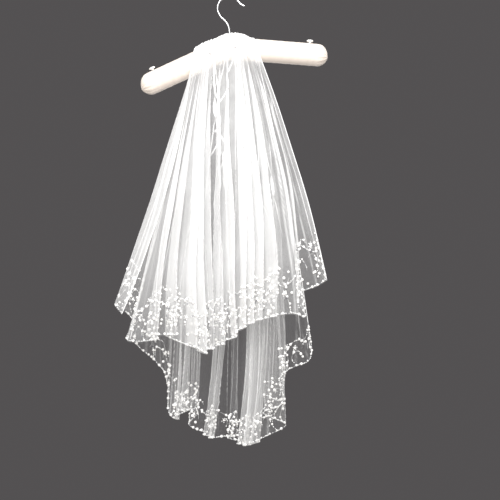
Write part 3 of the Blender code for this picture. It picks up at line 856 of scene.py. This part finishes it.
@dataclass
class VeilTier:
    """One tier of tulle: a fine sheet through the fold lines, with creases pinched into it."""

    name: str
    folds: tuple
    creases: tuple
    crush: tuple
    side: Side
    line: BarLine
    seed: int
    rows_over: int = 12
    rows_hanging: int = 138
    columns: int = 620
    samples: int = 36
    head_clearance: float = 1.3
    head_rise: float = 8.5
    head_centre: float = -10.0
    head_narrowing: float = 0.87
    seam_gap: float = 0.8
    stem_clearance: float = 2.3
    stem_width: float = 6.0
    rounding: float = 1.4
    wander: float = 3.6
    crimp: float = 0.7
    evenness: float = 0.8
    heading_lumps: tuple = ((-72, -1), (-60, 3.5), (-46, 3.2), (-32, 1.0), (-14, 3.0), (14, 5.5), (28, 3.5),
                            (46, -3.0))
    fold_press: float = 2.2
    crease_press: float = 2.0
    hem_spread: float = 0.5
    grid: np.ndarray = field(init=False, default=None)
    flat: np.ndarray = field(init=False, default=None)
    closeness: np.ndarray = field(init=False, default=None)

    def __post_init__(self) -> None:
        """Read the fold table."""
        self.head, self.mid, self.hem, self.drop, self.depth = np.array(self.folds, float).T
        near = np.abs(self.depth)
        self.rise = self.head_clearance + self.head_rise * (near - near.min()) / (near.max() - near.min())

    def over_bar(self, share: float) -> np.ndarray:
        """Places of the fold lines on the bar, from its top, share 0, to its front or back, 1."""
        angle = share * math.pi / 2
        narrow = self.head_narrowing + (1 - self.head_narrowing) * share
        x = self.head_centre + (self.head - self.head_centre) * narrow
        edge = self.seam_gap / 2 + self.stem_clearance * np.exp(-(x / self.stem_width) ** 2)
        even = self.evenness * (1 - share)
        lumps = (1 - share) * np.interp(x, *zip(*self.heading_lumps))
        reach = self.line.radius + self.rise * (1 - even) + self.rise.mean() * even + lumps
        y = self.side.value * (edge + (reach - edge) * math.sin(angle))
        lean = np.sqrt(1 + self.line.slope(x) ** 2)
        return np.column_stack((x, y, self.line.height(x) + reach * lean * math.cos(angle)))

    def hanging(self, share: float) -> np.ndarray:
        """Places of the fold lines below the bar, from its middle height, 0, to the hem, 1."""
        start = self.over_bar(1.0)
        x = (start[:, 0] * (1 - share) * (1 - 2 * share) + self.mid * 4 * share * (1 - share)
             + self.hem * share * (2 * share - 1))
        y = start[:, 1] + (self.depth - start[:, 1]) * share
        return np.column_stack((x, y, start[:, 2] + (-self.drop - start[:, 2]) * share))

    def along_folds(self, rows: np.ndarray, places: np.ndarray) -> np.ndarray:
        """Read a smooth line through the fold lines' places on one level.

        Args:
            rows: The places of the fold lines.
            places: Fractional fold numbers to read.

        Returns:
            A point for each place.
        """
        ends = np.vstack((2 * rows[0] - rows[1], rows, 2 * rows[-1] - rows[-2]))
        span = np.diff(ends, axis=0)
        length = np.linalg.norm(span, axis=1)[:, None]
        knot = np.sqrt(length)
        skip = span[:-1] + span[1:]
        flow = span[:-1] / knot[:-1] - skip / (knot[:-1] + knot[1:]) + span[1:] / knot[1:]
        straight = np.linalg.norm(skip, axis=1)[:, None] / (length[:-1] + length[1:])
        flow[:, :2] *= 1 + self.rounding * (1 - straight)
        leave, arrive = flow[:-1] * knot[1:-1], flow[1:] * knot[1:-1]
        index = np.clip(np.floor(places).astype(int), 0, len(rows) - 2)
        f = (places - index)[:, None]
        return ((1 + 2 * f) * (1 - f) ** 2 * rows[index] + f * (1 - f) ** 2 * leave[index]
                + f * f * (3 - 2 * f) * rows[index + 1] - f * f * (1 - f) * arrive[index])

    def levels(self) -> np.ndarray:
        """Levels of the sheet's rows: -1 at the top of the bar, 0 at its middle, 1 at the hem."""
        over = -1 + np.arange(self.rows_over) / self.rows_over
        return np.concatenate((over, np.arange(self.rows_hanging + 1) / self.rows_hanging))

    def lay_out(self) -> None:
        """Work out the sheet's grid of points, and the flat place of each."""
        levels = self.levels()
        places = np.linspace(0, len(self.folds) - 1, (len(self.folds) - 1) * self.samples + 1)
        draw = np.random.default_rng(self.seed)
        phase = draw.uniform(0, 2 * math.pi, (3, len(self.folds)))
        free = np.ones(len(self.folds))
        free[[0, 1, -1]] = 0.3
        lines = []
        for level in levels:
            rows = self.over_bar(1 + level) if level < 0 else self.hanging(level)
            fade = float(smooth_step(0.0, 0.5, np.array(level)))
            sway = np.sin(phase[0] + level * 6.1) + 0.6 * np.sin(phase[1] + level * 13.7)
            rows[:, 0] += self.wander * fade * sway * free * 0.6
            rows[:, 1] += self.wander * fade * np.sin(phase[2] + level * 8.3) * free
            lines.append(self.along_folds(rows, places))
        base = np.array(lines)
        across = np.linalg.norm(np.diff(base, axis=1), axis=2)
        length = np.concatenate((np.zeros((len(levels), 1)), np.cumsum(across, axis=1)), axis=1)
        along = unit(np.gradient(base, axis=1))
        down = unit(np.gradient(base, axis=0))
        outward = unit(np.cross(along, down)) * -self.side.value
        bent, crowd, press = self.pinch(levels, places, length, base, along, outward)
        bent = self.crimp_heading(levels, length, bent, outward)
        weight = np.diff(length, axis=1) * (1 + (crowd[:, 1:] + crowd[:, :-1]) / 2)
        weight = weight / weight.sum(axis=1, keepdims=True)
        reach = np.concatenate((np.zeros((len(levels), 1)), np.cumsum(weight, axis=1)), axis=1)
        target = np.linspace(0, 1, self.columns + 1)
        self.grid = np.stack([np.column_stack([np.interp(target, reach[r], bent[r, :, k]) for k in range(3)])
                              for r in range(len(levels))])
        edges = self.fold_press * np.exp(-((places - np.round(places)) / 0.045) ** 2)
        hang = smooth_step(-0.1, 0.25, levels)[:, None]
        spread = 1 - self.hem_spread * smooth_step(0.72, 1.0, levels)[:, None]
        thick = (np.interp(places, *zip(*self.crush)) * (1 + hang * edges) + press) * spread
        self.closeness = np.array([np.interp(target, reach[r], thick[r]) for r in range(len(levels))])
        flat_x = np.array([np.interp(target, reach[r], length[r]) for r in range(len(levels))])
        step = np.linalg.norm(np.diff(self.grid, axis=0), axis=2)
        flat_y = np.concatenate((np.zeros((1, self.columns + 1)), np.cumsum(step, axis=0)))
        self.flat = np.stack((flat_x, flat_y), axis=-1)

    def pinch(self, levels: np.ndarray, places: np.ndarray, length: np.ndarray, base: np.ndarray,
              along: np.ndarray, outward: np.ndarray) -> tuple:
        """Fold each crease over itself in a narrow lap.

        Args:
            levels: Level of each row.
            places: Fold number of each column.
            length: Distance along each row from the side edge.
            base: The smooth sheet.
            along: Directions along the rows.
            outward: Directions away from the bar.

        Returns:
            The creased sheet, how much more closely its columns should stand at each place, and
            how hard it is pressed there.
        """
        bent = base.copy()
        crowd = np.zeros(length.shape)
        press = np.zeros(length.shape)
        for crease in self.creases:
            run = (levels - crease.top) / (crease.foot - crease.top)
            fold = crease.top_fold + (crease.foot_fold - crease.top_fold) * np.clip(run, 0, 1)
            centre = np.array([np.interp(f, places, row) for f, row in zip(fold, length)])
            strength = smooth_step(-0.02, 0.14, run) * smooth_step(1.04, 0.84, run)
            away = (length - centre[:, None]) / crease.width
            lap = away * np.exp(0.5 - away * away / 2) * strength[:, None]
            way = along * np.array([1.0, 0.35, 0.35])
            way[..., 0] = np.tanh(3 * along[..., 0])
            bent += lap[..., None] * crease.lap * (0.45 * outward - way)
            crowd += 2.5 * np.exp(-(away / 3) ** 2) * smooth_step(-0.3, 0.1, run)[:, None] \
                * smooth_step(1.3, 0.9, run)[:, None]
            press += crease.press * self.crease_press * np.exp(-(away / 0.6) ** 2) * strength[:, None]
        return bent, crowd, press

    def crimp_heading(self, levels: np.ndarray, length: np.ndarray, bent: np.ndarray,
                      outward: np.ndarray) -> np.ndarray:
        """Add the fine gathers of the heading, which open out within a hand's width.

        Args:
            levels: Level of each row.
            length: Distance along each row from the side edge.
            bent: The sheet so far.
            outward: Directions away from the bar.

        Returns:
            The sheet with its gathers.
        """
        share = length / length[:, -1:]
        fade = smooth_step(0.22, -0.2, levels)[:, None]
        wave = (1 + np.sin(share * 410 + 2.3 * np.sin(share * 31))) / 2
        return bent + (self.crimp * fade * wave)[..., None] * outward

    def build(self, tulle: Tulle) -> bpy.types.Object:
        """Make the sheet.

        Args:
            tulle: The net's finish.

        Returns:
            The new piece.
        """
        self.lay_out()
        piece = grid_piece(self.name, self.grid, self.flat, tulle.material())
        crush = piece.data.attributes.new("crush", "FLOAT", "POINT")
        crush.data.foreach_set("value", self.closeness.astype(np.float32).ravel())
        dress(piece, "tulle", self.name.replace("_net", "_tier"))
        return piece


@dataclass
class SideCord:
    """The narrow corded finish down both side edges of a tier."""

    tier: VeilTier
    name: str
    radius: float = 0.65
    sides: int = 6

    def build(self, thread: Lustre) -> bpy.types.Object:
        """Run a fine cord down each side edge.

        Args:
            thread: The cord's finish.

        Returns:
            The new piece.
        """
        parts = [thread_tube(self.tier.grid[:, column], self.radius, self.sides) for column in (0, -1)]
        piece = fan_piece(self.name, parts, thread.material())
        dress(piece, "tulle")
        return piece


@dataclass
class BeadBorder:
    """The worked border along a hem: an edge line, a wandering vine, loops, clusters and loose pearls."""

    tier: VeilTier
    name: str
    seed: int
    repeat: float = 84.0
    vine_height: float = 47.0
    top_height: float = 66.0
    corner_climb: float = 62.0
    seed_radius: float = 1.15
    seed_pitch: float = 3.9
    pearl_radius: float = 2.9
    silver_share: float = 0.13
    thread_radius: float = 0.22
    lift: float = 0.9
    tall: float = 1.0
    loose_pitch: float = 11.0

    def __post_init__(self) -> None:
        """Measure the hem and the way up from it."""
        grid = self.tier.grid
        step = np.linalg.norm(np.diff(grid[-1], axis=0), axis=1)
        self.run = np.concatenate(([0.0], np.cumsum(step)))
        up = np.linalg.norm(np.diff(grid[::-1], axis=0), axis=2)
        self.up = np.concatenate((np.zeros((1, grid.shape[1])), np.cumsum(up, axis=0)))
        self.draw = np.random.default_rng(self.seed)

    def on_cloth(self, places: np.ndarray, lift: float) -> np.ndarray:
        """Find points on the cloth's right side.

        Args:
            places: Distances along the hem and above it, in millimetres.
            lift: Distance out from the cloth.

        Returns:
            A point for each place.
        """
        grid = self.tier.grid[::-1]
        column = np.interp(places[:, 0], self.run, np.arange(len(self.run)))
        left = np.clip(column.astype(int), 0, len(self.run) - 2)
        share = column - left
        found = []
        for k, s, h in zip(left, share, places[:, 1]):
            row = np.interp(h, self.up[:, k], np.arange(len(grid)))
            low = min(int(row), len(grid) - 2)
            f = row - low
            a = grid[low, k] * (1 - f) + grid[low + 1, k] * f
            b = grid[low, k + 1] * (1 - f) + grid[low + 1, k + 1] * f
            out = np.cross(b - a, grid[low + 1, k] - grid[low, k])
            found.append(a * (1 - s) + b * s + out / max(np.linalg.norm(out), 1e-9) * lift)
        return np.array(found)

    def arc(self, centre: tuple, radius: float, start: float, end: float, closing: float) -> np.ndarray:
        """Draw one curl, in degrees from the hem's direction, its radius closing in by a share."""
        turn = np.linspace(0, 1, 40)
        angle = np.radians(start + (end - start) * turn)
        reach = radius * (1 - closing * turn)
        return np.column_stack((centre[0] + reach * np.cos(angle), centre[1] + reach * np.sin(angle)))

    def strands(self) -> list:
        """Draw the border's strands flat, as lines of distances along and above the hem.

        Returns:
            One array of points for each strand.
        """
        total = self.run[-1]
        count = max(round(total / self.repeat), 1)
        pitch = total / count
        t = np.linspace(0, 1, 600)
        sway = 2 * math.pi * count * t
        lines = [np.column_stack((t * total, np.full(600, 1.3))),
                 np.column_stack((t * total, self.vine_height + 7 * np.sin(sway)
                                  + 5 * np.sin(0.37 * sway + 1)))]
        rise = np.linspace(0, 1, 30)
        for side in (1.4, total - 1.4):
            lines.append(np.column_stack((np.full(30, side), rise * self.corner_climb)))
        for k in range(count):
            start = k * pitch
            size = self.draw.uniform(0.8, 1.25)
            near, far, turned = self.draw.uniform(-6, 6, 3)
            lines.append(self.arc((start + 0.27 * pitch + near, 20 * size), 15 * size,
                                  235 + 3 * turned, 0, 0.15))
            lines.append(self.arc((start + 0.66 * pitch + far, 30), 12 * size,
                                  -60, 130 + 4 * turned, 0.3))
            sway_up = 6 * np.sin(5 * rise + turned)
            lines.append(np.column_stack((start + 0.9 * pitch + sway_up, 2 + (self.vine_height - 4) * rise)))
            if turned > 0 or self.tall > 1:
                lines.append(self.arc((start + 0.5 * pitch + near, self.vine_height + 6), 9, 200, 20, 0.1))
        return [np.column_stack((np.clip(line[:, 0], 1.2, total - 1.2),
                                 np.clip(line[:, 1], 1.2, self.top_height) * self.tall)) for line in lines]

    def place(self) -> dict:
        """String the beads on the strands, then add clusters and loose pearls.

        Returns:
            For each kind of bead, its flat places with sizes, as rows of along, above and radius.
        """
        found = {kind: [] for kind in Bead}
        for number, line in enumerate(self.strands()):
            step = np.concatenate(([0.0], np.cumsum(np.linalg.norm(np.diff(line, axis=0), axis=1))))
            count = int(step[-1] / self.seed_pitch)
            at = (np.arange(count) + 0.5) * self.seed_pitch + self.draw.uniform(-0.7, 0.7, count)
            along = np.interp(at, step, line[:, 0]) + self.draw.normal(0, 0.35, count)
            above = np.interp(at, step, line[:, 1]) + np.abs(self.draw.normal(0, 0.6, count))
            every = self.draw.integers(3, 8, count)
            since, skip = 0, 0
            for k in range(count):
                chance = self.draw.random()
                since += 1
                gap = self.draw.integers(1, 5) * (number > 0 and self.draw.random() < 0.14)
                skip = skip - 1 if skip else gap
                if skip:
                    continue
                if since >= every[k]:
                    since = 0
                    size = self.pearl_radius * self.draw.uniform(0.62, 1.06)
                    found[Bead.PEARL].append((along[k], above[k] + 0.8, size))
                elif chance < self.silver_share:
                    found[Bead.SILVER].append((along[k], above[k], self.seed_radius * 1.15))
                elif chance < 0.92:
                    size = self.seed_radius * self.draw.uniform(0.75, 1.25)
                    found[Bead.SEED].append((along[k], above[k], size))
        self.scatter(found)
        return {kind: np.array(rows) for kind, rows in found.items()}

    def scatter(self, found: dict) -> None:
        """Add loose pearls, some of them ringed by seed beads, between the strands."""
        total = self.run[-1]
        for _ in range(int(total / self.loose_pitch)):
            x, y = self.draw.uniform(5, total - 5), self.draw.uniform(6, 60) * self.tall
            size = self.pearl_radius * self.draw.uniform(0.75, 1.1)
            found[Bead.PEARL].append((x, y, size))
            if self.draw.random() < 0.22:
                for turn in np.arange(5) * 2 * math.pi / 5 + self.draw.uniform(0, 1.2):
                    found[Bead.SEED].append((x + 4.4 * math.cos(turn), max(y + 4.4 * math.sin(turn), 1.2),
                                             self.seed_radius * self.draw.uniform(0.8, 1.1)))

    @staticmethod
    def ball(sides: int, rings: int) -> tuple:
        """Points and faces of a small ball of radius 1.

        Args:
            sides: Faces around it.
            rings: Bands from pole to pole.

        Returns:
            Its points and its triangles.
        """
        points = [(0.0, 0.0, 1.0)]
        for ring in range(1, rings):
            turn = math.pi * ring / rings
            for k in range(sides):
                angle = 2 * math.pi * (k + ring / 2) / sides
                points.append((math.sin(turn) * math.cos(angle), math.sin(turn) * math.sin(angle),
                               math.cos(turn)))
        points.append((0.0, 0.0, -1.0))
        faces = [(0, 1 + k, 1 + (k + 1) % sides) for k in range(sides)]
        for ring in range(rings - 2):
            a, b = 1 + ring * sides, 1 + (ring + 1) * sides
            for k in range(sides):
                n = (k + 1) % sides
                faces += [(a + k, b + k, a + n), (a + n, b + k, b + n)]
        last = len(points) - 1
        faces += [(last, last - sides + (k + 1) % sides, last - sides + k) for k in range(sides)]
        return np.array(points), np.array(faces)

    def stitch(self, thread: Lustre) -> bpy.types.Object:
        """Lay the fine thread that the beads are strung on.

        Args:
            thread: The thread's finish.

        Returns:
            The new piece.
        """
        parts = []
        for line in self.strands():
            step = np.concatenate(([0.0], np.cumsum(np.linalg.norm(np.diff(line, axis=0), axis=1))))
            at = np.linspace(0, step[-1], max(int(step[-1] / 4.0), 3))
            flat = np.column_stack((np.interp(at, step, line[:, 0]), np.interp(at, step, line[:, 1])))
            parts.append(thread_tube(self.on_cloth(flat, 0.35), self.thread_radius, 3))
        piece = fan_piece(f"{self.name}_thread", parts, thread.material())
        dress(piece, "pearl")
        return piece

    def build(self, finishes: dict) -> list:
        """Make the border's beads, one joined mesh for each kind.

        Args:
            finishes: The finish of each kind of bead.

        Returns:
            The new pieces.
        """
        shapes = {Bead.SEED: self.ball(6, 4), Bead.PEARL: self.ball(10, 7), Bead.SILVER: self.ball(6, 4)}
        pieces = []
        for kind, rows in self.place().items():
            points, faces = shapes[kind]
            centres = self.on_cloth(rows[:, :2], self.lift)
            parts = [(points * size + centre, faces) for centre, size in zip(centres, rows[:, 2])]
            piece = fan_piece(f"{self.name}_{kind.value}", parts, finishes[kind].material())
            dress(piece, "wire" if kind is Bead.SILVER else "pearl")
            pieces.append(piece)
        return pieces


@dataclass
class Studio:
    """Camera, floor and soft light."""

    centre: tuple = (0.0418, 0.0, -0.5157)
    distance: float = 3.4
    width: float = 1.02
    floor_height: float = -1.35
    floor_size: float = 3.0

    def camera(self) -> None:
        """Place the camera square to the hanger, at the photograph's framing."""
        data = bpy.data.cameras.new("view")
        data.sensor_width = 36.0
        data.lens = data.sensor_width * self.distance / self.width
        data.clip_start, data.clip_end = 0.05, 50.0
        camera = bpy.data.objects.new("view", data)
        camera.location = (self.centre[0], -self.distance, self.centre[2])
        camera.rotation_euler = (math.pi / 2, 0.0, 0.0)
        bpy.context.scene.collection.objects.link(camera)
        bpy.context.scene.camera = camera

    def area(self, name: str, place: tuple, target: tuple, size: float, power: float,
             colour: tuple = (1.0, 1.0, 1.0)) -> None:
        """Hang one soft square light.

        Args:
            name: The light's name.
            place: Where it hangs, in metres.
            target: What it points at.
            size: Length of its side.
            power: Watts.
            colour: Its tint.
        """
        data = bpy.data.lights.new(name, "AREA")
        data.size = size
        data.energy = power
        data.color = colour
        light = bpy.data.objects.new(name, data)
        light.location = place
        aim = Vector(target) - Vector(place)
        light.rotation_euler = aim.to_track_quat("-Z", "Y").to_euler()
        bpy.context.scene.collection.objects.link(light)

    def world(self) -> None:
        """Fill the room with soft light, and leave a plain dark grey behind the veil."""
        world = bpy.data.worlds.new("room")
        world.use_nodes = True
        bpy.context.scene.world = world
        tree = world.node_tree
        tree.nodes.clear()
        seen = tree.nodes.new("ShaderNodeBackground")
        seen.inputs["Color"].default_value = (0.088, 0.083, 0.085, 1.0)
        glow = tree.nodes.new("ShaderNodeBackground")
        glow.inputs["Color"].default_value = (1.0, 0.985, 0.97, 1.0)
        glow.inputs["Strength"].default_value = 0.42
        path = tree.nodes.new("ShaderNodeLightPath")
        mix = tree.nodes.new("ShaderNodeMixShader")
        out = tree.nodes.new("ShaderNodeOutputWorld")
        tree.links.new(path.outputs["Is Camera Ray"], mix.inputs["Fac"])
        tree.links.new(glow.outputs["Background"], mix.inputs[1])
        tree.links.new(seen.outputs["Background"], mix.inputs[2])
        tree.links.new(mix.outputs["Shader"], out.inputs["Surface"])

    def floor(self) -> None:
        """Lay a plain pale floor well below the hem."""
        half = self.floor_size / 2
        corners = [(-half, -half), (half, -half), (half, half), (-half, half)]
        mesh = bpy.data.meshes.new("floor")
        mesh.from_pydata([(x, y, self.floor_height) for x, y in corners], [], [(0, 1, 2, 3)])
        mesh.materials.append(Lustre("floor_paint", (0.5, 0.495, 0.49), (0.47, 0.465, 0.46), 0.7,
                                     grain=4.0).material())
        floor = bpy.data.objects.new("floor", mesh)
        bpy.context.scene.collection.objects.link(floor)

    def build(self) -> None:
        """Set up the whole studio."""
        self.camera()
        self.world()
        self.floor()
        self.area("key", (0.1, -1.25, 0.75), (0.0, 0.0, -0.35), 1.1, 43.0)
        self.area("front", (-0.3, -2.2, 0.0), (0.0, 0.0, -0.4), 1.4, 27.0, (1.0, 0.98, 0.96))
        self.area("back", (0.6, 2.0, 0.2), (0.0, 0.0, -0.4), 1.6, 16.0)
        scene = bpy.context.scene
        scene.view_settings.view_transform = "Standard"
        scene.cycles.transparent_max_bounces = 96


def main() -> None:
    """Build the hanger, both tiers and their borders, and the studio."""
    logging.basicConfig(level=logging.INFO, format="%(name)s %(message)s")
    line = BarLine()
    PaddedBar(line).build(Satin("hanger_satin"))
    WireHook(line).build(Lustre("hook_chrome", (0.86, 0.87, 0.89), (0.80, 0.81, 0.83), 0.14, metallic=1.0))
    enamel = Lustre("knob_enamel", (0.93, 0.92, 0.90), (0.89, 0.88, 0.86), 0.25, coat=0.4)
    StrapKnob(line, "knob_left", -146.5).build(enamel)
    StrapKnob(line, "knob_right", 162.0).build(enamel)
    finishes = {
        Bead.SEED: Lustre("seed_glass", (0.96, 0.96, 0.95), (0.9, 0.9, 0.9), 0.16, coat=0.5,
                          grain=900.0),
        Bead.PEARL: Lustre("pearl_lustre", (0.96, 0.95, 0.93), (0.9, 0.885, 0.87), 0.22, coat=0.8,
                           grain=500.0),
        # The silvered beads' metal is painted dark: a painted reflection of dark surroundings, which the
        # room's bright fill would not give them.
        Bead.SILVER: Lustre("silvered_glass_painted_dark_reflection", (0.34, 0.34, 0.37), (0.12, 0.12, 0.14), 0.12,
                            metallic=1.0, grain=900.0),
    }
    thread = Lustre("white_thread", (0.96, 0.96, 0.96), (0.9, 0.9, 0.9), 0.6, grain=800.0)
    upper = VeilTier("upper_net", UPPER_FOLDS, UPPER_CREASES, UPPER_CRUSH, Side.FRONT, line, seed=11)
    lower = VeilTier("lower_net", LOWER_FOLDS, LOWER_CREASES, LOWER_CRUSH, Side.BACK, line, seed=23,
                     wander=5.0, fold_press=4.4, crease_press=6.0, hem_spread=0.2)
    nets = (
        (lower, Tulle("lower_tulle", cover=0.055), "lower", 15, 1.0, 17.0, (1.60, 0.88), 0.70),
        (upper, Tulle("upper_tulle", cover=0.25), "upper", 16, 1.65, 6.5, (1.66, 0.70), 0.60),
    )
    for tier, tulle, name, seed, tall, loose_pitch, cut, area in nets:
        net = tier.build(tulle)
        border, again = (BeadBorder(tier, f"{name}_border", seed, tall=tall, loose_pitch=loose_pitch)
                         for _ in range(2))
        sewn = [SideCord(tier, f"{name}_side_cords").build(thread), border.stitch(thread),
                *again.build(finishes)]
    Studio().build()
    LOG.info("sizes written")


if __name__ == "__main__":
    main()
